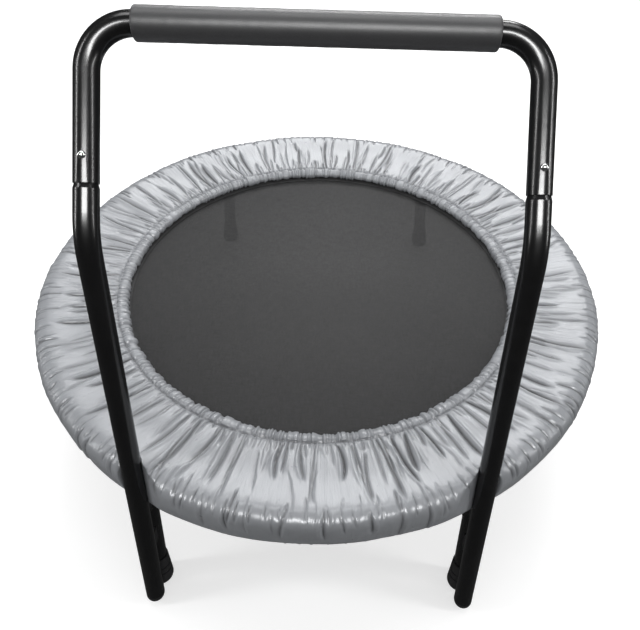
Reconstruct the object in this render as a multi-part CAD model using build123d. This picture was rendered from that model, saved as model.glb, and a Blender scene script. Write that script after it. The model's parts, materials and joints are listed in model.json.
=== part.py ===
from build123d import *
from build123d.topology.shape_core import SkipClean
import math
import os

# Mini trampoline with a removable grab handle. Millimetres, +Z up.
# The origin is on the floor at the trampoline's centre, and the handle stands at the -Y side.

# Tubing
TUBE_R = 12.7
TUBE_WALL = 1.2
TUBE_BORE_R = TUBE_R - TUBE_WALL
PRESS_GAP = 0.02
SLIP_GAP = 0.1

# Frame ring
RING_R = 423.0
RING_Z = 228.0

# Legs: six, at 60 degree steps from 30 degrees either side of the front
LEG_ANGLES = {
    "front_left": -30.0,
    "front_right": 30.0,
    "side_left": -90.0,
    "side_right": 90.0,
    "rear_left": -150.0,
    "rear_right": 150.0,
}
FRONT_LEG_X = 222.0
FRONT_LEAN = 13.0
LEG_SPLAY = 11.0
SOCKET_R = 14.3
SOCKET_LENGTH = 85.0
SOCKET_NUT_START = 16.0
SOCKET_NUT_LENGTH = 8.0
LEG_START = 26.0
INSERT_LENGTH = 20.0
STUD_R = 4.0
STUD_START = 14.0
STUD_LENGTH = 30.0

# Rubber feet, measured along the leg from the point where its axis meets the floor
FOOT_HEIGHT = 50.0
FOOT_TOP_R = 14.4
FOOT_BASE_R = 18.0
FOOT_SOLE = 11.0
GROOVE_DEPTH = 1.4
GROOVE_WIDTH = 2.4

# Handle posts, in front of the front legs and parallel to them
POST_OFFSET = 31.0
UPPER_LEAN = 39.5
BEND_Z = 562.0
BEND_R = 100.0
POST_FLOOR_GAP = 2.0
PLUG_COLLAR = 2.0
PLUG_INSERT_LENGTH = 22.0

# Swaged joint between a post and the handlebar, measured up the tube from the bend's vertex
JOIN_AT = 53.0
SWAGE_R = TUBE_BORE_R - SLIP_GAP
SWAGE_TAPER = 5.0
SWAGE_LENGTH = 60.0

# Handlebar and grip
TOP_BAR_Z = 722.0
CORNER_R = 45.0
GRIP_LENGTH = 352.0
GRIP_R = 16.9
GRIP_CHAMFER = 1.5

# Snap buttons
BUTTON_AT = JOIN_AT + 26.0
BUTTON_R = 3.9
BUTTON_HOLE_R = 4.1
BUTTON_TOP = 16.0
BUTTON_DOME = 2.0
BUTTON_FLANGE_R = 4.6
BUTTON_FLANGE_BASE = 7.4
BUTTON_FLANGE_TOP = 8.8
SPRING_STRIP_WIDTH = 7.0
SPRING_STRIP_THICKNESS = 0.6
SPRING_ARM_LENGTH = 38.0

# Bolts between each front leg and its post, measured down the leg from the ring's centre line
BOLT_STATIONS = ((60.0, SOCKET_R), (125.0, TUBE_R))
BOLT_R = 3.0
BOLT_HOLE_R = 3.3
BOLT_HEAD_FLATS = 10.0
BOLT_HEAD_HEIGHT = 4.0
BOLT_PAST_POST_WALL = 9.0
WASHER_R = 7.0
WASHER_THICKNESS = 1.5
RIVET_R = 4.4
RIVET_HOLE_R = 4.5
RIVET_FLANGE_R = 5.5
RIVET_FLANGE_THICKNESS = 1.0
RIVET_LENGTH = 11.0
SPACER_WIDTH = 18.0
SPACER_HEIGHT = 24.0

# Jumping mat
MAT_R = 338.0
MAT_THICKNESS = 1.5
MAT_Z = RING_Z
HEM_WIDTH = 20.0
HEM_THICKNESS = 0.55
LOOP_WIDTH = 14.0
LOOP_THICKNESS = 1.2
LOOP_LENGTH = 20.6
SPRING_COUNT = 30

# Wire triangles at the mat's edge
RING_WIRE_R = 1.25
RING_BAR_R = 342.6
RING_BAR_HALF = 14.0
RING_APEX_R = 355.0
RING_CORNER_R = 2.5

# Extension springs
SPRING_WIRE_R = 0.95
COIL_MEAN_R = 5.6
COIL_START = 364.0
COIL_COUNT = 20
HOOK_R = 2.2
SPRING_HOLE_R = 1.6

# Pad: an elliptical rim around the frame ring, running down to the inner edge
PAD_MID_R = 418.5
PAD_MID_Z = 227.6
PAD_HALF_WIDTH = 41.5
PAD_HALF_HEIGHT = 36.7
PAD_INNER_R = 323.0
PAD_INNER_Z = 245.0
PAD_SKIRT_ANGLE = -47.0
COVER_THICKNESS = 1.5
FOAM_INNER_R = 345.0
FOAM_GAP = 2.2
FOAM_BASE_Z = 242.0
FOAM_SKIRT_R = 443.0
FOAM_SKIRT_ANGLE = -30.0
POST_CLEARANCE_R = TUBE_R + 1.5
INNER_CORD_R = 2.0
OUTER_CORD_R = 1.6


def tan_deg(angle):
    return math.tan(math.radians(angle))


def cos_deg(angle):
    return math.cos(math.radians(angle))


def sin_deg(angle):
    return math.sin(math.radians(angle))


def rod(radius, start, end):
    """A cylinder on the local Z axis between two heights."""
    return Pos(0, 0, (start + end) / 2) * Cylinder(radius, end - start)


def pipe(outer, inner, start, end):
    return rod(outer, start, end) - rod(inner, start - 1, end + 1)


def cross_rod(radius, start, end, at):
    """A cylinder along the local Y axis, at a given height on the local Z axis."""
    return Pos(0, 0, at) * Rot(-90, 0, 0) * rod(radius, start, end)


def save(name, shapes):
    """Writes one node; a list is a group of separate solids."""
    if isinstance(shapes, list):
        shapes = Compound(children=[solid for shape in shapes for solid in shape.solids()])
    export_step(shapes, f"parts/{name}.step")


def around(shape, count, first=0.0):
    return [Rot(0, 0, first + 360 * i / count) * shape for i in range(count)]


def revolved(face):
    """A section drawn as (radius, height), turned about the vertical axis."""
    return revolve(Plane.XZ * face, Axis.Z)


# Places
# Each leg has its own axes: local Z runs down the leg from the ring's centre line, and for a front leg
# local Y points from the leg to its post.


def leg_plane(name):
    angle = LEG_ANGLES[name]
    if name.startswith("front"):
        x = math.copysign(FRONT_LEG_X, angle)
        y = -math.sqrt(RING_R**2 - FRONT_LEG_X**2)
        down = Vector(0, -sin_deg(FRONT_LEAN), -cos_deg(FRONT_LEAN))
        return Plane(Vector(x, y, RING_Z), x_dir=Vector(1, 0, 0), z_dir=down)
    outward = Vector(sin_deg(angle), -cos_deg(angle), 0)
    tangent = Vector(cos_deg(angle), sin_deg(angle), 0)
    down = outward * sin_deg(LEG_SPLAY) + Vector(0, 0, -cos_deg(LEG_SPLAY))
    return Plane(outward * RING_R + Vector(0, 0, RING_Z), x_dir=tangent, z_dir=down)


def leg_reach(name):
    """Distance down the leg's axis from the ring's centre line to the floor."""
    lean = FRONT_LEAN if name.startswith("front") else LEG_SPLAY
    return RING_Z / cos_deg(lean)


FRONT_LEG_Y = -math.sqrt(RING_R**2 - FRONT_LEG_X**2)
POST_FLOOR_Y = FRONT_LEG_Y - RING_Z * tan_deg(FRONT_LEAN) - POST_OFFSET / cos_deg(FRONT_LEAN)
BEND_Y = POST_FLOOR_Y + BEND_Z * tan_deg(FRONT_LEAN)
TOP_BAR_Y = BEND_Y + (TOP_BAR_Z - BEND_Z) * tan_deg(UPPER_LEAN)
TOP_BAR_AT = (TOP_BAR_Z - BEND_Z) / cos_deg(UPPER_LEAN)
LOWER_UP = Vector(0, sin_deg(FRONT_LEAN), cos_deg(FRONT_LEAN))
UPPER_UP = Vector(0, sin_deg(UPPER_LEAN), cos_deg(UPPER_LEAN))
PLUG_CENTRE_Z = POST_FLOOR_GAP + TUBE_R


def bend_vertex(side):
    return Vector(side * FRONT_LEG_X, BEND_Y, BEND_Z)


def plug_plane(side):
    """Local Z points up the post from the centre of its domed end."""
    centre = Vector(side * FRONT_LEG_X, POST_FLOOR_Y + PLUG_CENTRE_Z * tan_deg(FRONT_LEAN), PLUG_CENTRE_Z)
    return Plane(centre, x_dir=Vector(1, 0, 0), z_dir=LOWER_UP)


def upper_plane(side):
    """Local Z points up the handle tube from the bend's vertex, and local Y points away from the mat."""
    return Plane(bend_vertex(side), x_dir=Vector(-1, 0, 0), z_dir=UPPER_UP)


def button_plane(side):
    """Local Z points out of the tube, through the snap button's centre."""
    outward = Vector(0, -cos_deg(UPPER_LEAN), sin_deg(UPPER_LEAN))
    return Plane(bend_vertex(side) + UPPER_UP * BUTTON_AT, x_dir=Vector(1, 0, 0), z_dir=outward)


# Frame ring, sockets and legs


def frame_ring():
    """A hollow ring with a hole for each spring's hook, made of equal arcs that share their end faces."""
    arc = 360 / SPRING_COUNT
    tube_section = Pos(RING_R, 0) * (Circle(TUBE_R) - Circle(TUBE_BORE_R))
    hole = Rot(0, 0, arc / 2) * Rot(0, 90, 0) * rod(SPRING_HOLE_R, RING_R - TUBE_R - 4, RING_R - TUBE_R + 4)
    with SkipClean():
        piece = (revolve(Plane.XZ * tube_section, Axis.Z, arc) - hole).solid()
        arcs = around(piece, SPRING_COUNT, first=-arc / 2)
        ring = arcs[0].fuse(*arcs[1:])
    return Pos(0, 0, RING_Z) * ring


def bolt_holes(radius):
    return [cross_rod(radius, -TUBE_R * 2, POST_OFFSET - TUBE_R, at) for at, _ in BOLT_STATIONS]


def leg_socket(name):
    socket = pipe(SOCKET_R, TUBE_R + SLIP_GAP, 0, SOCKET_LENGTH)
    if name.startswith("front"):
        socket -= bolt_holes(BOLT_HOLE_R)
    ring_space = Pos(0, 0, RING_Z) * Torus(RING_R, TUBE_R + PRESS_GAP)
    return (leg_plane(name).location * socket - ring_space).solids().sort_by(SortBy.VOLUME)[-1]


def socket_nut(name):
    end = SOCKET_NUT_START + SOCKET_NUT_LENGTH
    nut = pipe(TUBE_R + SLIP_GAP - PRESS_GAP, STUD_R + PRESS_GAP, SOCKET_NUT_START, end)
    return leg_plane(name).location * nut


def leg_insert(name):
    insert = pipe(TUBE_BORE_R - PRESS_GAP, STUD_R + PRESS_GAP, LEG_START, LEG_START + INSERT_LENGTH)
    return leg_plane(name).location * insert


def leg_stud(name):
    return leg_plane(name).location * rod(STUD_R, STUD_START, STUD_START + STUD_LENGTH)


def leg_tube(name):
    leg = pipe(TUBE_R, TUBE_BORE_R, LEG_START, leg_reach(name) - FOOT_SOLE - 1)
    if name.startswith("front"):
        leg -= bolt_holes(BOLT_HOLE_R)
    return leg_plane(name).location * leg


def rubber_foot(name):
    """A flared cap with two grooves, a pocket for the leg and a flat where it meets the floor."""
    floor = leg_reach(name)
    top = floor - FOOT_HEIGHT
    edge = floor - FOOT_SOLE
    with BuildSketch() as section:
        with BuildLine():
            side = Line((FOOT_TOP_R, top), (FOOT_BASE_R, edge))
            sole = ThreePointArc(side @ 1, (FOOT_BASE_R - 2.4, floor - 2.5), (9.0, floor + 1.0))
            base = Line(sole @ 1, (0, floor + 1.0))
            axis = Line(base @ 1, (0, top))
            Line(axis @ 1, side @ 0)
        make_face()
    foot = revolve(Plane.XZ * section.sketch, Axis.Z)
    for share in (0.42, 0.68):
        at = top + share * (edge - top)
        radius = FOOT_TOP_R + share * (FOOT_BASE_R - FOOT_TOP_R)
        foot -= pipe(radius + 4, radius - GROOVE_DEPTH, at - GROOVE_WIDTH / 2, at + GROOVE_WIDTH / 2)
    foot -= rod(TUBE_R + PRESS_GAP, top - 1, floor - FOOT_SOLE)
    below_floor = Pos(0, 0, -50) * Box(1200, 1200, 100)
    return leg_plane(name).location * foot - below_floor


# Bolted joint between a front leg and its post


def saddle_washer(at, tube_r):
    disc = cross_rod(WASHER_R, -tube_r - WASHER_THICKNESS, -tube_r + 3, at)
    disc -= cross_rod(BOLT_HOLE_R, -tube_r - 9, 0, at)
    return disc - rod(tube_r + PRESS_GAP, at - 2 * WASHER_R, at + 2 * WASHER_R)


def post_bolt(at, tube_r):
    seat = -tube_r - WASHER_THICKNESS - PRESS_GAP
    tip = POST_OFFSET - TUBE_R + BOLT_PAST_POST_WALL
    shank = cross_rod(BOLT_R, seat, tip, at)
    head_sketch = RegularPolygon(BOLT_HEAD_FLATS / 2, 6, major_radius=False)
    head = Pos(0, 0, at) * Rot(-90, 0, 0) * Pos(0, 0, seat - BOLT_HEAD_HEIGHT) * extrude(
        head_sketch, BOLT_HEAD_HEIGHT
    )
    return shank + head


def rivet_nut(at):
    wall = POST_OFFSET - TUBE_R
    flange = cross_rod(RIVET_FLANGE_R, wall - RIVET_FLANGE_THICKNESS - PRESS_GAP, wall - PRESS_GAP, at)
    barrel = cross_rod(RIVET_R, wall - RIVET_FLANGE_THICKNESS, wall + RIVET_LENGTH, at)
    return flange + barrel - cross_rod(BOLT_R + PRESS_GAP, wall - 5, wall + RIVET_LENGTH + 5, at)


def post_spacer(at, tube_r):
    """A saddle block between the leg and the post, hollowed on both faces to hug the two tubes."""
    block = Pos(0, POST_OFFSET / 2, at) * Box(SPACER_WIDTH, 16, SPACER_HEIGHT)
    low, high = at - SPACER_HEIGHT, at + SPACER_HEIGHT
    block -= rod(tube_r + PRESS_GAP, low, high)
    block -= Pos(0, POST_OFFSET, 0) * rod(TUBE_R + PRESS_GAP, low, high)
    pocket = RIVET_FLANGE_R + SLIP_GAP
    block -= cross_rod(pocket, POST_OFFSET - TUBE_R - RIVET_FLANGE_THICKNESS - 0.1, POST_OFFSET, at)
    return block - cross_rod(BOLT_HOLE_R, 0, POST_OFFSET, at)


def joint_parts(make):
    """One part at each bolt of each front leg."""
    placed = []
    for name in ("front_left", "front_right"):
        for station in BOLT_STATIONS:
            placed.append(leg_plane(name).location * make(*station))
    return placed


# Posts, handlebar and grip


def post(side, leg_name):
    foot = plug_plane(side)
    start = foot.origin + LOWER_UP * PLUG_COLLAR
    shoulder = bend_vertex(side) + UPPER_UP * (JOIN_AT - SWAGE_TAPER)
    points = [(p.Y, p.Z) for p in (start, bend_vertex(side), shoulder)]
    upright = Plane((side * FRONT_LEG_X, 0, 0), x_dir=(0, 1, 0), z_dir=(1, 0, 0))
    path = upright * FilletPolyline(*points, radius=BEND_R)
    ring = Circle(TUBE_R) - Circle(TUBE_BORE_R)
    tube = sweep(Plane(start, x_dir=(1, 0, 0), z_dir=LOWER_UP) * ring, path=path)
    with BuildSketch() as section:
        with BuildLine():
            Polyline(
                (TUBE_BORE_R, JOIN_AT - SWAGE_TAPER),
                (TUBE_R, JOIN_AT - SWAGE_TAPER),
                (SWAGE_R, JOIN_AT),
                (SWAGE_R, JOIN_AT + SWAGE_LENGTH),
                (SWAGE_R - TUBE_WALL, JOIN_AT + SWAGE_LENGTH),
                (SWAGE_R - TUBE_WALL, JOIN_AT),
                close=True,
            )
        make_face()
    swage = upper_plane(side).location * revolve(Plane.XZ * section.sketch, Axis.Z)
    body = tube + swage
    body -= button_plane(side).location * rod(BUTTON_HOLE_R, 0, TUBE_R + 5)
    for at, _ in BOLT_STATIONS:
        body -= leg_plane(leg_name).location * cross_rod(RIVET_HOLE_R, TUBE_R, POST_OFFSET, at)
    return body


def post_plug(side):
    """A domed end cap of the tube's own diameter, with a stem pressed into the tube."""
    dome = Sphere(TUBE_R) - rod(TUBE_R * 2, 0, TUBE_R * 2)
    collar = rod(TUBE_R, 0, PLUG_COLLAR - PRESS_GAP)
    stem = rod(TUBE_BORE_R - PRESS_GAP, 0, PLUG_INSERT_LENGTH)
    hollow = rod(TUBE_BORE_R - 2.5, 2, PLUG_INSERT_LENGTH + 1)
    return plug_plane(side).location * (dome + collar + stem - hollow)


def handlebar_tube():
    """An inverted U in the plane of the two upper tubes."""
    middle = Vector(0, BEND_Y, BEND_Z)
    across = Plane(middle, x_dir=Vector(1, 0, 0), z_dir=Vector(0, -cos_deg(UPPER_LEAN), sin_deg(UPPER_LEAN)))
    corners = (
        (-FRONT_LEG_X, JOIN_AT),
        (-FRONT_LEG_X, TOP_BAR_AT),
        (FRONT_LEG_X, TOP_BAR_AT),
        (FRONT_LEG_X, JOIN_AT),
    )
    path = across * FilletPolyline(*corners, radius=CORNER_R)
    start = bend_vertex(-1) + UPPER_UP * JOIN_AT
    ring = Circle(TUBE_R) - Circle(TUBE_BORE_R)
    bar = sweep(Plane(start, x_dir=(1, 0, 0), z_dir=UPPER_UP) * ring, path=path)
    for side in (-1, 1):
        bar -= button_plane(side).location * rod(BUTTON_HOLE_R, 0, TUBE_R + 5)
    return bar


def foam_grip():
    sleeve = pipe(GRIP_R, TUBE_R + PRESS_GAP, -GRIP_LENGTH / 2, GRIP_LENGTH / 2)
    outer_edges = sleeve.edges().filter_by(GeomType.CIRCLE).sort_by(SortBy.RADIUS)[-2:]
    sleeve = chamfer(outer_edges, GRIP_CHAMFER)
    return Pos(0, TOP_BAR_Y, TOP_BAR_Z) * Rot(0, 90, 0) * sleeve


# Snap buttons and their leaf springs


def snap_button(side):
    dome_base = BUTTON_TOP - BUTTON_DOME
    dome_r = (BUTTON_R**2 + BUTTON_DOME**2) / (2 * BUTTON_DOME)
    half_angle = math.degrees(math.asin(BUTTON_R / dome_r)) / 2
    on_dome = (dome_r * sin_deg(half_angle), BUTTON_TOP - dome_r + dome_r * cos_deg(half_angle))
    with BuildSketch() as section:
        with BuildLine():
            base = Polyline(
                (0, BUTTON_FLANGE_BASE),
                (BUTTON_FLANGE_R, BUTTON_FLANGE_BASE),
                (BUTTON_FLANGE_R, BUTTON_FLANGE_TOP),
                (BUTTON_R, BUTTON_FLANGE_TOP),
                (BUTTON_R, dome_base),
            )
            dome = ThreePointArc(base @ 1, on_dome, (0, BUTTON_TOP))
            Line(dome @ 1, base @ 0)
        make_face()
    return button_plane(side).location * revolve(Plane.XZ * section.sketch, Axis.Z)


def button_spring(side):
    """A V-shaped strip: one arm carries the button and the other bears on the far wall of the swage."""
    arm = BUTTON_FLANGE_BASE - SPRING_STRIP_THICKNESS / 2 - 0.1
    far = -(SWAGE_R - TUBE_WALL) + 1.6
    points = ((6, arm), (-6, arm), (-SPRING_ARM_LENGTH, -0.8), (-6, far), (6, far))
    flat = Plane(button_plane(side).origin, x_dir=UPPER_UP, z_dir=Vector(1, 0, 0))
    outward = button_plane(side).z_dir
    if flat.y_dir.dot(outward) < 0:
        flat = Plane(button_plane(side).origin, x_dir=UPPER_UP, z_dir=Vector(-1, 0, 0))
    path = flat * FilletPolyline(*points, radius=1.5)
    strip = Plane(path @ 0, x_dir=(1, 0, 0), z_dir=path % 0) * Rectangle(
        SPRING_STRIP_WIDTH, SPRING_STRIP_THICKNESS
    )
    return sweep(strip, path=path)


# Mat, loops, wire triangles and springs


def jump_mat():
    return rod(MAT_R, MAT_Z - MAT_THICKNESS / 2, MAT_Z + MAT_THICKNESS / 2)


def mat_hem():
    """A binding folded over the mat's edge."""
    half = MAT_THICKNESS / 2 + 0.05
    low, high = MAT_Z - half - HEM_THICKNESS, MAT_Z + half + HEM_THICKNESS
    outer_r = MAT_R + 0.05 + HEM_THICKNESS
    band = pipe(outer_r, MAT_R - HEM_WIDTH, low, high)
    return band - rod(MAT_R + 0.05, MAT_Z - half, MAT_Z + half)


def mat_loop():
    """A webbing strip folded around the triangle's bar and sewn above and below the hem."""
    gap = RING_WIRE_R + 0.1
    start = RING_BAR_R - LOOP_LENGTH
    centre = (start + RING_BAR_R) / 2
    outer = Pos(centre, 0) * Rectangle(LOOP_LENGTH, 2 * (gap + LOOP_THICKNESS))
    outer += Pos(RING_BAR_R, 0) * Circle(gap + LOOP_THICKNESS)
    inner = Pos(centre - 1, 0) * Rectangle(LOOP_LENGTH + 2, 2 * gap)
    inner += Pos(RING_BAR_R, 0) * Circle(gap)
    section = Plane.XZ * (outer - inner)
    return Pos(0, 0, MAT_Z) * extrude(section, LOOP_WIDTH / 2, both=True)


def mat_ring():
    """A rounded wire triangle: its bar sits in the loop and its apex takes the spring."""
    points = ((RING_BAR_R, RING_BAR_HALF), (RING_APEX_R, 0), (RING_BAR_R, -RING_BAR_HALF))
    path = FilletPolyline(*points, radius=RING_CORNER_R, close=True)
    start = Plane(path @ 0, x_dir=(0, 0, 1), z_dir=path % 0)
    return Pos(0, 0, MAT_Z) * sweep(start * Circle(RING_WIRE_R), path=path)


def hook(points):
    path = Plane.XZ * FilletPolyline(*points, radius=HOOK_R)
    start = Plane(path @ 0, x_dir=(0, 1, 0), z_dir=path % 0)
    return sweep(start * Circle(SPRING_WIRE_R), path=path)


def extension_spring():
    """Close-wound coils, as the sleeve they fill, with a round hook at the mat and a right-angled one in the ring."""
    pitch = 2 * SPRING_WIRE_R
    end = COIL_START + pitch * COIL_COUNT
    coils = pipe(COIL_MEAN_R + SPRING_WIRE_R, COIL_MEAN_R - SPRING_WIRE_R, COIL_START, end)
    coils = Rot(0, 90, 0) * coils
    top = COIL_MEAN_R
    apex = RING_APEX_R - RING_CORNER_R * (1 / sin_deg(48.5) - 1)
    reach = RING_WIRE_R + SPRING_WIRE_R + 0.05
    mat_hook = hook(
        (
            (COIL_START + 1, top),
            (COIL_START - 3, top),
            (COIL_START - 6.5, reach),
            (apex - reach, reach),
            (apex - reach, -reach),
            (apex + 3, -reach),
        )
    )
    inside = RING_R - TUBE_BORE_R + 3
    ring_hook = hook(((end - 1, top), (end + 2, top), (end + 5.2, 0), (inside, 0), (inside, -5.5)))
    return Pos(0, 0, MAT_Z) * (coils + mat_hook + ring_hook)


# Pad


def rim_point(angle, inset=0.0):
    """A point on the pad's elliptical rim; angle 0 is outermost and 90 is the crown."""
    radius = PAD_MID_R + (PAD_HALF_WIDTH - inset) * cos_deg(angle)
    return radius, PAD_MID_Z + (PAD_HALF_HEIGHT - inset) * sin_deg(angle)


def post_clearance():
    """The space that the two posts need where they cross the pad's rim."""
    cutters = []
    for name in ("front_left", "front_right"):
        cutter = Pos(0, POST_OFFSET, 0) * rod(POST_CLEARANCE_R, -120, 120)
        cutters.append(leg_plane(name).location * cutter)
    return cutters


def pad_cover():
    inset = COVER_THICKNESS / 2
    rim = [rim_point(angle, inset) for angle in (90, 60, 30, 0, PAD_SKIRT_ANGLE)]
    middle = ((PAD_INNER_R + PAD_MID_R) / 2, PAD_INNER_Z + 0.68 * (rim[0][1] - PAD_INNER_Z))
    line = Spline((PAD_INNER_R, PAD_INNER_Z), middle, *rim)
    cover = revolved(trace(line, COVER_THICKNESS))
    for cutter in post_clearance():
        cover -= cutter
    return cover


def pad_foam():
    inset = COVER_THICKNESS + FOAM_GAP
    rim = [rim_point(angle, inset) for angle in (90, 60, 30, 0, FOAM_SKIRT_ANGLE)]
    start = (FOAM_INNER_R, FOAM_BASE_Z + 4)
    middle = ((start[0] + PAD_MID_R) / 2, start[1] + 0.62 * (rim[0][1] - start[1]))
    with BuildSketch() as section:
        with BuildLine():
            top = Spline(start, middle, *rim)
            Polyline(
                top @ 1,
                (FOAM_SKIRT_R, rim[-1][1]),
                (FOAM_SKIRT_R, FOAM_BASE_Z),
                (FOAM_INNER_R, FOAM_BASE_Z),
                top @ 0,
            )
        make_face()
    foam = revolved(section.sketch)
    for cutter in post_clearance():
        foam -= cutter
    return foam


def pad_inner_elastic():
    return Pos(0, 0, PAD_INNER_Z - INNER_CORD_R - 0.6) * Torus(PAD_INNER_R + 4, INNER_CORD_R)


def pad_outer_elastic():
    radius, height = rim_point(PAD_SKIRT_ANGLE)
    cord = Pos(0, 0, height - OUTER_CORD_R - 1.2) * Torus(radius + 0.6, OUTER_CORD_R)
    for cutter in post_clearance():
        cord -= cutter
    return cord


os.makedirs("parts", exist_ok=True)

save("frame_ring", frame_ring())
save("leg_sockets", [leg_socket(name) for name in LEG_ANGLES])
save("socket_nuts", [socket_nut(name) for name in LEG_ANGLES])
save("leg_inserts", [leg_insert(name) for name in LEG_ANGLES])
save("leg_studs", [leg_stud(name) for name in LEG_ANGLES])
for leg_name in LEG_ANGLES:
    save(f"{leg_name}_leg", leg_tube(leg_name))
    save(f"{leg_name}_foot", rubber_foot(leg_name))

for side_name, side in (("left", -1), ("right", 1)):
    save(f"{side_name}_post", post(side, f"front_{side_name}"))
    save(f"{side_name}_post_plug", post_plug(side))
    save(f"{side_name}_snap_button", snap_button(side))
    save(f"{side_name}_button_spring", button_spring(side))

save("post_bolts", joint_parts(post_bolt))
save("saddle_washers", joint_parts(saddle_washer))
save("post_spacers", joint_parts(post_spacer))
save("rivet_nuts", joint_parts(lambda at, tube_r: rivet_nut(at)))
save("handlebar_tube", handlebar_tube())
save("foam_grip", foam_grip())

save("jump_mat", jump_mat())
save("mat_hem", mat_hem())
save("mat_loops", around(mat_loop(), SPRING_COUNT))
save("mat_rings", around(mat_ring(), SPRING_COUNT))
save("mat_springs", around(extension_spring(), SPRING_COUNT))

save("pad_cover", pad_cover())
save("pad_foam", pad_foam())
save("pad_inner_elastic", pad_inner_elastic())
save("pad_outer_elastic", pad_outer_elastic())
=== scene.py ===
import json
import math

import bpy
import numpy as np
from mathutils import Matrix, Vector


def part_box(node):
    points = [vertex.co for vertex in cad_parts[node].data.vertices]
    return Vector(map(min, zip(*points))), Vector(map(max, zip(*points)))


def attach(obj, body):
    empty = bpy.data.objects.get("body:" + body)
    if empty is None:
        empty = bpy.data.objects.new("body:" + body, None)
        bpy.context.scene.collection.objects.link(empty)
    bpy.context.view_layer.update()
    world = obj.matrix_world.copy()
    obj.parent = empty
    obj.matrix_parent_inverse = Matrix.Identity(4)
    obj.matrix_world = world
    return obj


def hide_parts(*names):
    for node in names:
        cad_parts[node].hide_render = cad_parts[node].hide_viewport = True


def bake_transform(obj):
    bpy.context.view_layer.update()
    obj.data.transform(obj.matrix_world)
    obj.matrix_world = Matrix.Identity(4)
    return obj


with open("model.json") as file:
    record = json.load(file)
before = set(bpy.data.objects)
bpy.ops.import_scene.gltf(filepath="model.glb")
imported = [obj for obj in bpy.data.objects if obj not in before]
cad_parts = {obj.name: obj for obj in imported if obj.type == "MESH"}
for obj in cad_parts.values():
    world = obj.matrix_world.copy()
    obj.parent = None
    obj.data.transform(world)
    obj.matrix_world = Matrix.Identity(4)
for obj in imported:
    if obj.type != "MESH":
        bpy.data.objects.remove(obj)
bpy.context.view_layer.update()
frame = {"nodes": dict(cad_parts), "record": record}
nodes = frame["nodes"]

MM = 0.001

# Places and sizes read from the frame
RING_LOW, RING_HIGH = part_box("frame_ring")
TUBE_R = (RING_HIGH.z - RING_LOW.z) / 2
RING_R = (RING_HIGH.x - RING_LOW.x) / 2 - TUBE_R
PAD_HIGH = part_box("pad_cover")[1]
PAD_R = PAD_HIGH.x
PAD_TOP_Z = PAD_HIGH.z
CORD_LOW, CORD_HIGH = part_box("pad_inner_elastic")
CORD_R = (CORD_HIGH.z - CORD_LOW.z) / 2
CORD_Z = (CORD_HIGH.z + CORD_LOW.z) / 2
CORD_RING_R = CORD_HIGH.x - CORD_R
SKIRT_LOW, SKIRT_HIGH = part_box("pad_outer_elastic")
SKIRT_CORD_R = (SKIRT_HIGH.z - SKIRT_LOW.z) / 2
SKIRT_Z = (SKIRT_HIGH.z + SKIRT_LOW.z) / 2
SKIRT_R = SKIRT_HIGH.x - SKIRT_CORD_R
FOAM_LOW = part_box("pad_foam")[0]
MAT_LOW, MAT_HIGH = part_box("jump_mat")
MAT_R = MAT_HIGH.x
MAT_Z = (MAT_LOW.z + MAT_HIGH.z) / 2
MAT_THICKNESS = MAT_HIGH.z - MAT_LOW.z
GRIP_LOW, GRIP_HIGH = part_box("foam_grip")
POST_LOW, POST_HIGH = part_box("right_post")
PLUG_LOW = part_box("right_post_plug")[0]
TRIANGLE_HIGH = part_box("mat_rings")[1]

# The lower posts lean back from their feet
POST_LEAN = math.radians(13)
POST_X = (POST_LOW.x + POST_HIGH.x) / 2
POST_FOOT_Z = PLUG_LOW.z + TUBE_R
POST_FOOT_Y = PLUG_LOW.y + TUBE_R


# Mesh helpers


def smooth_step(low, high, value):
    t = np.clip((value - low) / (high - low), 0, 1)
    return t * t * (3 - 2 * t)


def grid_faces(rows, columns, close_rows=False, close_columns=True):
    """Quads of a grid of points in row order, closed round its columns and, if asked, its rows."""
    r = np.arange(rows if close_rows else rows - 1)
    c = np.arange(columns if close_columns else columns - 1)
    r, c = (a.ravel() for a in np.meshgrid(r, c, indexing="ij"))
    r2, c2 = (r + 1) % rows, (c + 1) % columns
    corners = (r * columns + c, r * columns + c2, r2 * columns + c2, r2 * columns + c)
    return np.stack(corners, axis=1)


def new_mesh(name, points, faces, uv=None):
    """A smooth-shaded mesh object; uv holds one pair for each point."""
    mesh = bpy.data.meshes.new(name)
    faces = np.asarray(faces, np.int32)
    mesh.vertices.add(len(points))
    mesh.vertices.foreach_set("co", np.asarray(points, np.float32).ravel())
    mesh.loops.add(faces.size)
    mesh.loops.foreach_set("vertex_index", faces.ravel())
    mesh.polygons.add(len(faces))
    mesh.polygons.foreach_set("loop_start", np.arange(len(faces), dtype=np.int32) * faces.shape[1])
    mesh.polygons.foreach_set("use_smooth", np.ones(len(faces), bool))
    mesh.update(calc_edges=True)
    mesh.validate()
    if uv is not None:
        layer = mesh.uv_layers.new(name="cloth")
        layer.data.foreach_set("uv", np.asarray(uv, np.float32)[faces.ravel()].ravel())
    obj = bpy.data.objects.new(name, mesh)
    bpy.context.scene.collection.objects.link(obj)
    return obj


def smooth_curve(controls, steps):
    """A Catmull-Rom curve through the control points."""
    p = np.asarray(controls, float)
    p = np.vstack((2 * p[0] - p[1], p, 2 * p[-1] - p[-2]))
    out = []
    for i in range(1, len(p) - 2):
        t = np.linspace(0, 1, steps, endpoint=False)[:, None]
        a, b, c, d = p[i - 1 : i + 3]
        square = (2 * a - 5 * b + 4 * c - d) * t**2
        cube = (3 * b - a - 3 * c + d) * t**3
        out.append(0.5 * (2 * b + (c - a) * t + square + cube))
    out.append(p[-2:-1])
    return np.vstack(out)


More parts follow.
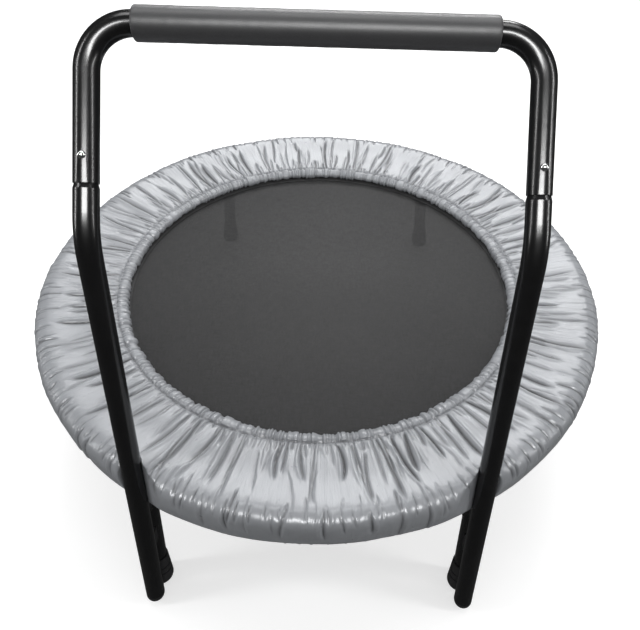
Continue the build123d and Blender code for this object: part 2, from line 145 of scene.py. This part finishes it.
def resampled(curve, fine_length, fine_count, count):
    """Points along the curve, with small steps over its first length, and each one's distance along it."""
    length = np.concatenate(([0], np.cumsum(np.linalg.norm(np.diff(curve, axis=0), axis=1))))
    fine = np.linspace(0, fine_length, fine_count, endpoint=False)
    at = np.concatenate((fine, np.linspace(fine_length, length[-1], count - fine_count)))
    points = np.stack([np.interp(at, length, curve[:, k]) for k in range(curve.shape[1])], axis=1)
    return points, at


def tube(path, radius, sides=10, closed=False):
    """Points and faces of a round wire along a path, open at its ends unless it is closed."""
    path = np.asarray(path, float)
    if closed:
        tangent = np.roll(path, -1, 0) - np.roll(path, 1, 0)
    else:
        tangent = np.gradient(path, axis=0)
    tangent /= np.linalg.norm(tangent, axis=1)[:, None]
    normal = np.zeros_like(path)
    start = np.cross(tangent[0], (0, 0, 1) if abs(tangent[0][2]) < 0.9 else (1, 0, 0))
    normal[0] = start / np.linalg.norm(start)
    for i in range(1, len(path)):
        n = normal[i - 1] - tangent[i] * (normal[i - 1] @ tangent[i])
        normal[i] = n / np.linalg.norm(n)
    side = np.cross(tangent, normal)
    angle = np.linspace(0, 2 * math.pi, sides, endpoint=False)
    c, s = np.cos(angle)[None, :, None], np.sin(angle)[None, :, None]
    ring = c * normal[:, None] + s * side[:, None]
    points = (path[:, None] + radius * ring).reshape(-1, 3)
    return points, grid_faces(len(path), sides, close_rows=closed)


def turned(section, columns):
    """Points of a (radius, height) section turned about the vertical axis, and the angles used."""
    section = np.asarray(section, float)
    angle = np.linspace(0, 2 * math.pi, columns, endpoint=False)
    x = section[:, :1] * np.sin(angle)
    y = -section[:, :1] * np.cos(angle)
    z = np.repeat(section[:, 1:2], columns, axis=1)
    return np.stack((x, y, z), axis=2).reshape(-1, 3), angle


def periodic_noise(rng, count, angle):
    """Smooth random values round a circle, with about count bumps."""
    values = rng.uniform(-1, 1, count)
    at = angle / (2 * math.pi) * count
    low = np.floor(at).astype(int)
    t = at - low
    t = t * t * (3 - 2 * t)
    return values[low % count] * (1 - t) + values[(low + 1) % count] * t


# Materials


def material(name, base, roughness, metallic=0.0):
    """A new principled material, its node tree and its shader."""
    mat = bpy.data.materials.new(name)
    mat.use_nodes = True
    shader = mat.node_tree.nodes["Principled BSDF"]
    shader.inputs["Base Color"].default_value = (*base, 1)
    shader.inputs["Roughness"].default_value = roughness
    shader.inputs["Metallic"].default_value = metallic
    return mat, mat.node_tree, shader


def add_node(tree, kind, **inputs):
    node = tree.nodes.new(kind)
    for key, value in inputs.items():
        node.inputs[key.replace("_", " ")].default_value = value
    return node


def coordinates(tree, kind="Object"):
    return tree.nodes.new("ShaderNodeTexCoord").outputs[kind]


def noise(tree, vector, scale, detail=2.0):
    node = add_node(tree, "ShaderNodeTexNoise", Scale=scale, Detail=detail)
    tree.links.new(vector, node.inputs["Vector"])
    return node.outputs["Fac"]


def math_node(tree, operation, a, b=None):
    node = tree.nodes.new("ShaderNodeMath")
    node.operation = operation
    for socket, value in zip(node.inputs, (a, b)):
        if isinstance(value, (int, float)):
            socket.default_value = value
        elif value is not None:
            tree.links.new(value, socket)
    return node.outputs[0]


def spread(tree, value, low, high):
    """Maps a 0 to 1 value onto a range."""
    node = add_node(tree, "ShaderNodeMapRange")
    node.inputs["To Min"].default_value = low
    node.inputs["To Max"].default_value = high
    tree.links.new(value, node.inputs["Value"])
    return node.outputs["Result"]


def blend_colors(tree, factor, first, second):
    node = tree.nodes.new("ShaderNodeMix")
    node.data_type = "RGBA"
    node.inputs["A"].default_value = (*first, 1)
    node.inputs["B"].default_value = (*second, 1)
    tree.links.new(factor, node.inputs["Factor"])
    return node.outputs["Result"]


def bump(tree, height, shader, distance, strength=1.0, before=None):
    node = add_node(tree, "ShaderNodeBump", Strength=strength, Distance=distance)
    tree.links.new(height, node.inputs["Height"])
    if before is not None:
        tree.links.new(before, node.inputs["Normal"])
    tree.links.new(node.outputs["Normal"], shader.inputs["Normal"])
    return node.outputs["Normal"]


def weave(tree, vector, pitch):
    """Two crossing sets of threads as heights: warp, weft and the higher of the two."""
    split = tree.nodes.new("ShaderNodeSeparateXYZ")
    tree.links.new(vector, split.inputs[0])
    waves = []
    for axis in ("X", "Y"):
        turns = math_node(tree, "MULTIPLY", split.outputs[axis], 2 * math.pi / pitch)
        waves.append(math_node(tree, "MULTIPLY_ADD", math_node(tree, "SINE", turns), 0.5))
        waves[-1].node.inputs[2].default_value = 0.5
    return waves[0], waves[1], math_node(tree, "MAXIMUM", waves[0], waves[1])


def powder_coat():
    mat, tree, shader = material("powder_coat", (0.010, 0.010, 0.011), 0.24)
    place = coordinates(tree)
    speckle = noise(tree, place, 2600, 3)
    tree.links.new(spread(tree, noise(tree, place, 60), 0.2, 0.3), shader.inputs["Roughness"])
    tone = blend_colors(tree, noise(tree, place, 30), (0.004, 0.004, 0.0045), (0.008, 0.008, 0.0085))
    tree.links.new(tone, shader.inputs["Base Color"])
    shader.inputs["Coat Weight"].default_value = 0.2
    shader.inputs["Coat Roughness"].default_value = 0.12
    bump(tree, speckle, shader, 0.00005, 0.35)
    return mat


def metal(name, base, roughness, grain):
    mat, tree, shader = material(name, base, roughness, 1.0)
    place = coordinates(tree)
    spots = noise(tree, place, grain, 4)
    tree.links.new(spread(tree, spots, roughness * 0.8, roughness * 1.3), shader.inputs["Roughness"])
    dark = tuple(c * 0.82 for c in base)
    tree.links.new(blend_colors(tree, spots, dark, base), shader.inputs["Base Color"])
    bump(tree, spots, shader, 0.00004, 0.3)
    return mat


def moulded(name, base, roughness, grain, depth):
    mat, tree, shader = material(name, base, roughness)
    place = coordinates(tree)
    fine = noise(tree, place, grain, 3)
    dusty = tuple(c * 1.5 + 0.004 for c in base)
    tone = blend_colors(tree, noise(tree, place, 45, 3), base, dusty)
    tree.links.new(tone, shader.inputs["Base Color"])
    tree.links.new(spread(tree, fine, roughness - 0.08, roughness + 0.08), shader.inputs["Roughness"])
    bump(tree, fine, shader, depth, 0.6)
    return mat


def grip_foam():
    mat, tree, shader = material("grip_foam", (0.03, 0.03, 0.032), 0.62)
    place = coordinates(tree)
    cells = add_node(tree, "ShaderNodeTexVoronoi", Scale=1500.0)
    tree.links.new(place, cells.inputs["Vector"])
    tone = blend_colors(tree, noise(tree, place, 900, 3), (0.05, 0.05, 0.052), (0.08, 0.08, 0.084))
    tree.links.new(tone, shader.inputs["Base Color"])
    tree.links.new(spread(tree, noise(tree, place, 40), 0.36, 0.46), shader.inputs["Roughness"])
    bump(tree, cells.outputs["Distance"], shader, 0.00012, 0.5)
    return mat


def pad_fabric():
    """Coated satin cloth with a fine weave and a soft lustre, and painted shade that darkens its colour
    where its folds are deep.
    """
    mat, tree, shader = material("pad_fabric", (0.5, 0.51, 0.53), 0.4)
    cloth = coordinates(tree, "UV")
    threads = weave(tree, cloth, 0.0007)[2]
    place = coordinates(tree)
    # Painted shade: the colour is mixed towards near black where the cloth lies in a fold.
    painted_fold_shade = tree.nodes.new("ShaderNodeAttribute")
    painted_fold_shade.attribute_name = "painted_fold_shade"
    tone = blend_colors(tree, noise(tree, place, 22, 4), (0.27, 0.28, 0.297), (0.33, 0.342, 0.362))
    shade = tree.nodes.new("ShaderNodeMix")
    shade.data_type = "RGBA"
    shade.inputs["B"].default_value = (0.05, 0.051, 0.054, 1)
    tree.links.new(tone, shade.inputs["A"])
    tree.links.new(painted_fold_shade.outputs["Fac"], shade.inputs["Factor"])
    tree.links.new(shade.outputs["Result"], shader.inputs["Base Color"])
    tree.links.new(spread(tree, noise(tree, place, 140, 3), 0.24, 0.36), shader.inputs["Roughness"])
    shader.inputs["Metallic"].default_value = 0.06
    stretch = add_node(tree, "ShaderNodeMapping", Scale=(190.0, 22.0, 1.0))
    tree.links.new(cloth, stretch.inputs["Vector"])
    crinkle = bump(tree, noise(tree, stretch.outputs["Vector"], 1.0, 4), shader, 0.0012, 0.55)
    bump(tree, threads, shader, 0.00006, 0.35, before=crinkle)
    return mat


def mat_mesh():
    """A dark open weave that lets a little light through between its threads."""
    mat, tree, shader = material("mat_mesh", (0.05, 0.05, 0.052), 0.6)
    cloth = coordinates(tree, "UV")
    warp, weft, threads = weave(tree, cloth, 0.0016)
    place = coordinates(tree)
    yarns = []
    for stretch in ((900.0, 60.0, 1.0), (60.0, 900.0, 1.0)):
        along = add_node(tree, "ShaderNodeMapping", Scale=stretch)
        tree.links.new(cloth, along.inputs["Vector"])
        yarns.append(noise(tree, along.outputs["Vector"], 1.0, 2))
    uneven = math_node(tree, "MULTIPLY", yarns[0], yarns[1])
    tone = math_node(tree, "MULTIPLY", threads, spread(tree, uneven, 0.1, 3.0))
    color = blend_colors(tree, tone, (0.004, 0.004, 0.0042), (0.034, 0.034, 0.035))
    tree.links.new(color, shader.inputs["Base Color"])
    tree.links.new(spread(tree, noise(tree, place, 90, 3), 0.5, 0.62), shader.inputs["Roughness"])
    shader.inputs["Sheen Weight"].default_value = 0.04
    shader.inputs["Specular IOR Level"].default_value = 0.2
    bump(tree, tone, shader, 0.0003, 0.7)
    clear = tree.nodes.new("ShaderNodeBsdfTransparent")
    mix = tree.nodes.new("ShaderNodeMixShader")
    gaps = [math_node(tree, "SUBTRACT", 1.0, yarn) for yarn in (warp, weft)]
    holes = math_node(tree, "MULTIPLY", *gaps)
    tree.links.new(spread(tree, holes, 0.0, 0.5), mix.inputs[0])
    tree.links.new(shader.outputs[0], mix.inputs[1])
    tree.links.new(clear.outputs[0], mix.inputs[2])
    tree.links.new(mix.outputs[0], tree.nodes["Material Output"].inputs["Surface"])
    return mat


def webbing(name, base):
    mat, tree, shader = material(name, base, 0.7)
    threads = weave(tree, coordinates(tree), 0.0012)[2]
    light = tuple(c * 1.7 for c in base)
    tree.links.new(blend_colors(tree, threads, base, light), shader.inputs["Base Color"])
    shader.inputs["Sheen Weight"].default_value = 0.2
    bump(tree, threads, shader, 0.0002, 0.6)
    return mat


def filling_foam():
    mat, tree, shader = material("filling_foam", (0.85, 0.85, 0.83), 0.8)
    place = coordinates(tree)
    cells = add_node(tree, "ShaderNodeTexVoronoi", Scale=520.0)
    tree.links.new(place, cells.inputs["Vector"])
    tone = blend_colors(tree, noise(tree, place, 35, 3), (0.78, 0.78, 0.76), (0.88, 0.88, 0.86))
    tree.links.new(tone, shader.inputs["Base Color"])
    bump(tree, cells.outputs["Distance"], shader, 0.0004, 0.5)
    return mat


def paint(obj, mat):
    obj.data.materials.clear()
    obj.data.materials.append(mat)


# Pad cover

PAD_COLUMNS = 2200
PAD_ROWS = 130
HEM_ROWS = 46
HEM_LENGTH = 40 * MM
STITCH_R = CORD_RING_R + 9.5 * MM


def pad_section():
    """The cover's outline from under its inner hem, over the pad, to the roll at its outer hem."""
    top = PAD_TOP_Z
    inner = CORD_RING_R
    rim = PAD_R
    points = (
        (inner + 9 * MM, CORD_Z - 2.4 * MM),
        (inner + 2 * MM, CORD_Z - 4.4 * MM),
        (inner - 4.6 * MM, CORD_Z - 6.4 * MM),
        (inner - 7.2 * MM, CORD_Z - 4.2 * MM),
        (inner - 4.8 * MM, CORD_Z + 1.4 * MM),
        (inner + 3 * MM, CORD_Z + 4.6 * MM),
        (STITCH_R, CORD_Z + 3.4 * MM),
        (STITCH_R + 6 * MM, CORD_Z + 5.8 * MM),
        (STITCH_R + 30 * MM, CORD_Z + 9.4 * MM),
        (STITCH_R + 60 * MM, CORD_Z + 13.2 * MM),
        (rim - 28 * MM, top - 1.8 * MM),
        (rim - 17 * MM, top - 2.0 * MM),
        (rim - 8.2 * MM, top - 6.0 * MM),
        (rim - 2.8 * MM, top - 13 * MM),
        (rim - 0.6 * MM, top - 24 * MM),
        (rim - 0.8 * MM, top - 37 * MM),
        (rim - 2.6 * MM, top - 50 * MM),
        (rim - 8.0 * MM, top - 61 * MM),
        (SKIRT_R + 2.6 * MM, SKIRT_Z - 0.4 * MM),
        (SKIRT_R + 0.2 * MM, SKIRT_Z - 2.9 * MM),
        (SKIRT_R - 2.4 * MM, SKIRT_Z - 0.6 * MM),
        (SKIRT_R - 1.6 * MM, SKIRT_Z + 3.0 * MM),
    )
    return resampled(smooth_curve(points, 12), HEM_LENGTH, HEM_ROWS, PAD_ROWS)


def add_creases(valleys, ridges, rng, angle, radius, run, layer):
    """Adds sharp valleys that run outwards, steep on one side, with ridges beside them.

    A layer holds the creases' count, width, depth, range of starts, range of ends and drift, in mm.
    """
    count, width, depth, start, end, wander = layer
    for k in range(count):
        centre = (k + rng.uniform(0.1, 0.9)) * 2 * math.pi / count
        first = (start[0] + rng.uniform(0, 1) * (start[1] - start[0])) * MM
        last = (end[0] + rng.uniform(0, 1) ** 1.5 * (end[1] - end[0])) * MM
        drop = depth * rng.uniform(0.35, 1.0) * MM
        wide = width * rng.uniform(0.7, 1.3) * MM
        lean = rng.uniform(-1, 1) * wander * MM
        bow = rng.uniform(-1, 1) * wander * 0.4 * MM
        steep_side = rng.choice((-1.0, 1.0))
        t = np.clip((run - first) / (last - first), 0, 1)
        rise = smooth_step(first - 4 * MM, first + 3 * MM, run)
        live = rise * (1 - smooth_step(0.7 * last + 0.3 * first, last, run))
        drift = centre + (lean * t + bow * np.sin(math.pi * t)) / radius
        away = (angle[None, :] - drift[:, None] + math.pi) % (2 * math.pi) - math.pi
        near = np.abs(away).min(axis=0) < 7 * wide / radius.min()
        opening = (0.6 + 0.7 * np.sin(math.pi * t))[:, None]
        x = steep_side * away[:, near] * radius[:, None] / (wide * opening)
        amount = (drop * live)[:, None]
        valley = -amount * np.exp(-np.where(x > 0, 1.1 * x, -2.4 * x))
        ridge = 0.4 * amount * np.exp(-(((x + 1.6) / 0.7) ** 2))
        valleys[:, near] = np.minimum(valleys[:, near], valley)
        ridges[:, near] = np.maximum(ridges[:, near], ridge)


def pad_gathers(angle, section, run):
    """Height of the gathers above the smooth cover, and the painted shade of each point, from how deep in
    a fold it lies, between the hem's pleats and along the stitch groove.
    """
    rng = np.random.RandomState(11)
    radius = section[:, 0]
    stitch = run[np.argmin(np.abs(radius - STITCH_R) + 10 * (section[:, 1] < CORD_Z))]
    out = run - stitch
    length = out[-1]
    outside = smooth_step(1 * MM, 9 * MM, out)
    height = outside[:, None] * 0.9 * MM * periodic_noise(rng, 34, angle)[None, :]
    height += outside[:, None] * 0.6 * MM * periodic_noise(rng, 90, angle)[None, :]
    fine = 0.3 * MM * periodic_noise(rng, 420, angle) + 0.2 * MM * periodic_noise(rng, 610, angle)
    height += (outside * (1 - 0.8 * smooth_step(16 * MM, 90 * MM, out)))[:, None] * fine[None, :]
    valleys = np.zeros_like(height)
    ridges = np.zeros_like(height)
    hem_at = length / MM
    layers = (
        (240, 1.7, 2.2, (0, 1), (8, 30), 2.0),
        (130, 2.2, 2.8, (0, 3), (24, 84), 6.0),
        (90, 2.7, 3.8, (0, 8), (66, 128), 14.0),
        (46, 2.4, 2.6, (10, 60), (90, 132), 16.0),
        (190, 1.8, 2.8, (84, 108), (120, 142), 5.0),
        (90, 2.3, 2.6, (94, 116), (138, 184), 7.0),
        (190, 2.0, 1.8, (hem_at - 26, hem_at - 8), (hem_at, hem_at + 20), 2.0),
    )
    for layer in layers:
        add_creases(valleys, ridges, rng, angle, radius, out, layer)
    height += valleys + ridges
    ruffle = 1 - smooth_step(-2 * MM, 2 * MM, out)
    pleat = np.abs(periodic_noise(rng, 520, angle))
    frill = 3.8 * MM * pleat + 0.8 * MM * periodic_noise(rng, 210, angle) - 0.9 * MM
    height += ruffle[:, None] * frill[None, :]
    pucker = 0.7 + 0.3 * periodic_noise(rng, 520, angle)
    groove = np.exp(-((out / (1.5 * MM)) ** 2)) * 2.0 * MM
    height -= groove[:, None] * pucker[None, :]
    # Painted shade: darkens the cloth's colour in crease valleys, in the gaps between the hem's pleats and
    # along the stitch groove.
    painted_fold_shade = np.clip((-valleys - 0.4 * MM) / (2.4 * MM), 0, 1)
    painted_fold_shade = np.maximum(painted_fold_shade, ruffle[:, None] * np.clip(0.5 - 2.2 * pleat, 0, 0.5)[None, :])
    painted_fold_shade = np.maximum(painted_fold_shade, 0.55 * np.exp(-((out / (1.2 * MM)) ** 2))[:, None] * pucker[None, :])
    return height, painted_fold_shade


def press_in(points, gap, softness):
    """Pushes cloth back where a post crosses it, with sloping sides to the dent."""
    for side in (-1, 1):
        post_y = POST_FOOT_Y + (points[:, 2] - POST_FOOT_Z) * math.tan(POST_LEAN)
        across = np.abs(points[:, 0] - side * POST_X)
        clear = TUBE_R + gap
        behind = np.where(
            across < clear,
            np.sqrt(np.maximum(clear**2 - across**2, 0)),
            -(across - clear) * 1.15,
        )
        limit = post_y + behind
        deep = limit - points[:, 1]
        pushed = 0.5 * (deep + np.sqrt(deep**2 + softness**2))
        near = (across < 60 * MM) & (points[:, 1] < 0)
        points[:, 1] += np.where(near, pushed * (1 - smooth_step(30 * MM, 60 * MM, across)), 0)


def pad_cover():
    section, run = pad_section()
    points, angle = turned(section, PAD_COLUMNS)
    slope = np.gradient(section, axis=0)
    slope /= np.linalg.norm(slope, axis=1)[:, None]
    normal = np.stack((-slope[:, 1], slope[:, 0]), axis=1)
    height, painted_fold_shade = pad_gathers(angle, section, run)
    out_r = (normal[:, :1] * height).ravel()
    grid_angle = np.tile(angle, PAD_ROWS)
    points[:, 0] += out_r * np.sin(grid_angle)
    points[:, 1] -= out_r * np.cos(grid_angle)
    points[:, 2] += (normal[:, 1:] * height).ravel()
    press_in(points, 0.8 * MM, 2 * MM)
    uv = np.stack((grid_angle * RING_R, np.repeat(run, PAD_COLUMNS)), axis=1)
    cover = new_mesh("pad_cover_fabric", points, grid_faces(PAD_ROWS, PAD_COLUMNS), uv)
    # The painted shade goes on the mesh for the fabric's colour to read.
    attribute = cover.data.attributes.new("painted_fold_shade", "FLOAT", "POINT")
    attribute.data.foreach_set("value", painted_fold_shade.ravel().astype(np.float32))
    paint(cover, pad_fabric())
    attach(cover, "frame")
    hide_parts("pad_cover")


FILLING_COLUMNS = 480


def pad_filling():
    """The foam ring inside the cover, with soft edges."""
    cover = pad_section()[0]
    slope = np.gradient(cover, axis=0)
    slope /= np.linalg.norm(slope, axis=1)[:, None]
    outline = cover - 5.5 * MM * np.stack((-slope[:, 1], slope[:, 0]), axis=1)
    over = (cover[:, 0] > STITCH_R + 20 * MM) & (cover[:, 1] > FOAM_LOW.z + 6 * MM)
    shelf = RING_HIGH.z + 1.3 * MM
    skirt = RING_HIGH.x + 7.5 * MM
    lower = (
        (skirt + 2 * MM, FOAM_LOW.z),
        (skirt, FOAM_LOW.z + 3 * MM),
        (skirt, shelf - 4 * MM),
        (skirt - 3 * MM, shelf),
        (RING_R - 20 * MM, shelf),
        (STITCH_R + 17 * MM, shelf),
    )
    section = smooth_curve(np.vstack((outline[over][::6], lower, outline[over][:1])), 6)[:-1]
    shape = turned(section, FILLING_COLUMNS)[0]
    press_in(shape, 1.6 * MM, 2 * MM)
    foam = new_mesh("pad_foam_ring", shape, grid_faces(len(section), FILLING_COLUMNS, close_rows=True))
    paint(foam, filling_foam())
    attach(foam, "frame")
    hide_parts("pad_foam")


# Jumping mat

SPRING_COUNT = 30


def jump_mat():
    """A taut mesh disc, pulled slightly outwards at each spring."""
    steps = 161
    u, v = np.meshgrid(np.linspace(-1, 1, steps), np.linspace(-1, 1, steps))
    x, y = u * np.sqrt(1 - v**2 / 2), v * np.sqrt(1 - u**2 / 2)
    share = np.hypot(x, y)
    pull = 0.9 * MM * (np.cos(SPRING_COUNT * np.arctan2(y, x)) - 1) * share**12
    sag = 1.2 * MM * (1 - share**2)
    size = MAT_R + pull
    upper = np.stack((size * x, size * y, MAT_Z + MAT_THICKNESS / 2 - sag), axis=2).reshape(-1, 3)
    points = np.vstack((upper, upper - (0, 0, MAT_THICKNESS)))
    count = steps * steps
    faces = grid_faces(steps, steps, close_columns=False)
    index = np.arange(count).reshape(steps, steps)
    edge = np.concatenate((index[0, :-1], index[:-1, -1], index[-1, :0:-1], index[:0:-1, 0]))
    following = np.roll(edge, -1)
    rim = np.stack((edge, edge + count, following + count, following), axis=1)
    faces = np.vstack((faces, faces[:, ::-1] + count, rim))
    mat = new_mesh("jump_mat_mesh", points, faces, points[:, :2])
    paint(mat, mat_mesh())
    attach(mat, "mat")
    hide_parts("jump_mat")


# Springs

WIRE_R = 0.95 * MM
COIL_R = 5.6 * MM
COIL_TURNS = 20


def spring_path():
    """Centre line of one spring's wire in its own upright plane, as (outwards, sideways, up)."""
    start = RING_R - 59 * MM
    pitch = 2 * WIRE_R
    turns = np.linspace(0, COIL_TURNS * 2 * math.pi, COIL_TURNS * 22)
    along = start + turns / (2 * math.pi) * pitch
    coil = np.stack((along, COIL_R * np.sin(turns), COIL_R * np.cos(turns)), axis=1)
    apex = TRIANGLE_HIGH.x - 1.25 * MM
    reach = 2.25 * MM
    bend = np.radians(np.linspace(90, 270, 12))
    eye = np.stack((apex + reach * np.cos(bend), 0 * bend, reach * np.sin(bend)), axis=1)[::-1]
    eye = np.vstack(((apex + 3 * MM, 0, -reach), eye))
    lead_in = ((start - 5.4 * MM, 0, reach + 0.6 * MM), (start - 2.6 * MM, 0, COIL_R - 0.8 * MM))
    end = start + COIL_TURNS * pitch
    inside = RING_R - TUBE_R + 4.2 * MM
    lead_out = (
        (end + 2.6 * MM, 0, COIL_R - 1.2 * MM),
        (end + 5 * MM, 0, 0.6 * MM),
        (inside - 3 * MM, 0, 0),
        (inside - 0.6 * MM, 0, -0.6 * MM),
        (inside, 0, -5.4 * MM),
    )
    into_coil = smooth_curve((eye[-1], *lead_in, coil[0]), 6)[1:-1]
    out_of_coil = smooth_curve((coil[-1], *lead_out), 6)[1:]
    return np.vstack((eye, into_coil, coil, out_of_coil))


def springs(mat):
    wire, faces = tube(spring_path(), WIRE_R, 8)
    for i in range(SPRING_COUNT):
        angle = 2 * math.pi * i / SPRING_COUNT
        c, s = math.cos(angle), math.sin(angle)
        x = c * wire[:, 0] - s * wire[:, 1]
        y = s * wire[:, 0] + c * wire[:, 1]
        points = np.stack((x, y, wire[:, 2] + MAT_Z), axis=1)
        spring = new_mesh(f"spring_{i + 1:02d}", points, faces)
        paint(spring, mat)
        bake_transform(spring)
        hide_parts("mat_springs")


# Snap buttons' leaf springs


def leaf_spring(side, mat):
    """The strip inside one tube, copied from the CAD part as it stands."""
    shape = nodes[f"{side}_button_spring"].data.copy()
    points = np.empty(len(shape.vertices) * 3)
    shape.vertices.foreach_get("co", points)
    points = points.reshape(-1, 3)
    spring = bpy.data.objects.new(f"{side}_leaf_spring", shape)
    bpy.context.scene.collection.objects.link(spring)
    paint(spring, mat)
    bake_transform(spring)
    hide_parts(f"{side}_button_spring")


# Grip


def foam_grip():
    """A foam sleeve along the top bar, with rolled ends and a slightly uneven skin."""
    rng = np.random.RandomState(4)
    centre = (GRIP_LOW + GRIP_HIGH) / 2
    half = (GRIP_HIGH.x - GRIP_LOW.x) / 2
    outer = (GRIP_HIGH.z - GRIP_LOW.z) / 2
    bore = TUBE_R + 0.1 * MM
    roll = 2.2 * MM
    sides = 72
    corner = np.radians(np.linspace(0, 90, 8))
    left = np.stack((roll - roll * np.cos(corner) - half, outer - roll + roll * np.sin(corner)), axis=1)
    straight = np.linspace(-half + roll, half - roll, 120)[1:-1]
    middle = np.stack((straight, np.full_like(straight, outer)), axis=1)
    right = left[::-1] * (-1, 1)
    section = np.vstack(((-half, bore), left, middle, right, (half, bore)))
    angle = np.linspace(0, 2 * math.pi, sides, endpoint=False)
    along = np.repeat(section[:, :1], sides, axis=1)
    skin = 0.12 * MM * periodic_noise(rng, 60, (along / half + 1) * math.pi * 0.98)
    skin += 0.1 * MM * periodic_noise(rng, 9, angle)[None, :]
    r = section[:, 1:] + skin * (section[:, 1:] > bore)
    y, z = centre.y + r * np.cos(angle), centre.z + r * np.sin(angle)
    points = np.stack((along + centre.x, y, z), axis=2).reshape(-1, 3)
    faces = grid_faces(len(section), sides, close_rows=True)[:, ::-1]
    grip = new_mesh("foam_grip_sleeve", points, faces)
    paint(grip, grip_foam())
    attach(grip, "frame")
    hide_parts("foam_grip")


# Finishes of the CAD pieces that stay


def finish_frame():
    black = powder_coat()
    zinc = metal("zinc_plate", (0.62, 0.62, 0.6), 0.32, 300)
    wire = metal("spring_wire", (0.52, 0.52, 0.52), 0.3, 500)
    nickel = metal("nickel_plate", (0.82, 0.82, 0.82), 0.14, 800)
    rubber = moulded("foot_rubber", (0.016, 0.016, 0.017), 0.58, 700, 0.0002)
    plastic = moulded("black_plastic", (0.014, 0.014, 0.015), 0.42, 1200, 0.0001)
    cord = webbing("elastic_cord", (0.3, 0.3, 0.31))
    binding = webbing("mat_binding", (0.022, 0.022, 0.023))
    by_slot = {
        "frame_paint": black,
        "zinc_steel": zinc,
        "spring_steel": wire,
        "button_metal": nickel,
        "black_plastic": plastic,
        "foot_rubber": rubber,
        "elastic_cord": cord,
        "mat_binding": binding,
    }
    slots = {part["node"]: part["material_slot"] for part in frame["record"]["subparts"]}
    for name, obj in nodes.items():
        if slots[name] in by_slot:
            paint(obj, by_slot[slots[name]])
    return wire


# Studio


def floor():
    """A plain pale floor, bright to the camera only, so that it doesn't light the object from below."""
    size = 40.0
    points = np.array(((-size, -size, 0), (size, -size, 0), (size, size, 0), (-size, size, 0)))
    plane = new_mesh("floor", points, np.array(((0, 1, 2, 3),)))
    mat, tree, shader = material("floor_paint", (0.6, 0.6, 0.6), 0.9)
    tone = blend_colors(tree, noise(tree, coordinates(tree), 3), (0.58, 0.58, 0.58), (0.62, 0.62, 0.62))
    tree.links.new(tone, shader.inputs["Base Color"])
    shader.inputs["Emission Color"].default_value = (1, 1, 1, 1)
    path = tree.nodes.new("ShaderNodeLightPath")
    glow = spread(tree, path.outputs["Is Camera Ray"], 0.0, 0.62)
    tree.links.new(glow, shader.inputs["Emission Strength"])
    paint(plane, mat)
    plane.visible_glossy = False


def soft_light(name, place, target, size, power):
    data = bpy.data.lights.new(name, "AREA")
    data.shape = "RECTANGLE"
    data.size, data.size_y = size
    data.energy = power
    lamp = bpy.data.objects.new(name, data)
    lamp.location = place
    lamp.rotation_euler = (Vector(target) - Vector(place)).to_track_quat("-Z", "Y").to_euler()
    bpy.context.scene.collection.objects.link(lamp)
    return lamp


def lights():
    """A white backdrop and soft boxes. Reflections see a darker room, so highlights stay narrow."""
    world = bpy.data.worlds.new("studio")
    bpy.context.scene.world = world
    world.use_nodes = True
    tree = world.node_tree
    path = tree.nodes.new("ShaderNodeLightPath")
    dim = spread(tree, path.outputs["Is Glossy Ray"], 0.34, 0.06)
    strength = math_node(tree, "MAXIMUM", dim, path.outputs["Is Camera Ray"])
    tree.nodes["Background"].inputs["Color"].default_value = (1, 1, 1, 1)
    tree.links.new(strength, tree.nodes["Background"].inputs["Strength"])
    soft_light("overhead", (0, 0.3, 2.6), (0, 0, 0.1), (2.2, 0.9), 26)
    soft_light("back_box", (0.2, 2.3, 2.3), (0, 0, 0.2), (2.4, 0.9), 60)
    soft_light("left_strip", (-1.9, -0.5, 1.3), (0, 0, 0.4), (0.16, 1.8), 14)
    soft_light("right_strip", (1.9, -0.5, 1.3), (0, 0, 0.4), (0.16, 1.8), 14)
    glint = soft_light("front_strip", (0.1, -2.0, 2.2), (0, -0.3, 0.2), (1.8, 0.45), 80)
    glint.visible_diffuse = False
    bpy.context.scene.view_settings.view_transform = "Standard"


def camera():
    """Looks down over the handle at about 45 degrees, close to it, as a standing person would."""
    place = Vector((0.0209, -0.7832, 0.9361))
    pitch, yaw, roll = math.radians(42.82), math.radians(0.49), math.radians(1.83)
    level = math.cos(pitch)
    forward = Vector((math.sin(yaw) * level, math.cos(yaw) * level, -math.sin(pitch)))
    right = Vector((math.cos(yaw), -math.sin(yaw), 0))
    up = right.cross(forward)
    turned_right = right * math.cos(roll) + up * math.sin(roll)
    turned_up = up * math.cos(roll) - right * math.sin(roll)
    data = bpy.data.cameras.new("camera")
    data.sensor_width = 36
    data.lens = 34.12
    data.shift_x = -0.0246
    data.shift_y = -0.0405
    data.clip_start = 0.02
    obj = bpy.data.objects.new("camera", data)
    obj.matrix_world = Matrix((
        (turned_right.x, turned_up.x, -forward.x, place.x),
        (turned_right.y, turned_up.y, -forward.y, place.y),
        (turned_right.z, turned_up.z, -forward.z, place.z),
        (0, 0, 0, 1),
    ))
    bpy.context.scene.collection.objects.link(obj)
    bpy.context.scene.camera = obj


spring_wire = finish_frame()
pad_cover()
pad_filling()
jump_mat()
springs(spring_wire)
for side in ("left", "right"):
    leaf_spring(side, spring_wire)
foam_grip()
floor()
lights()
camera()
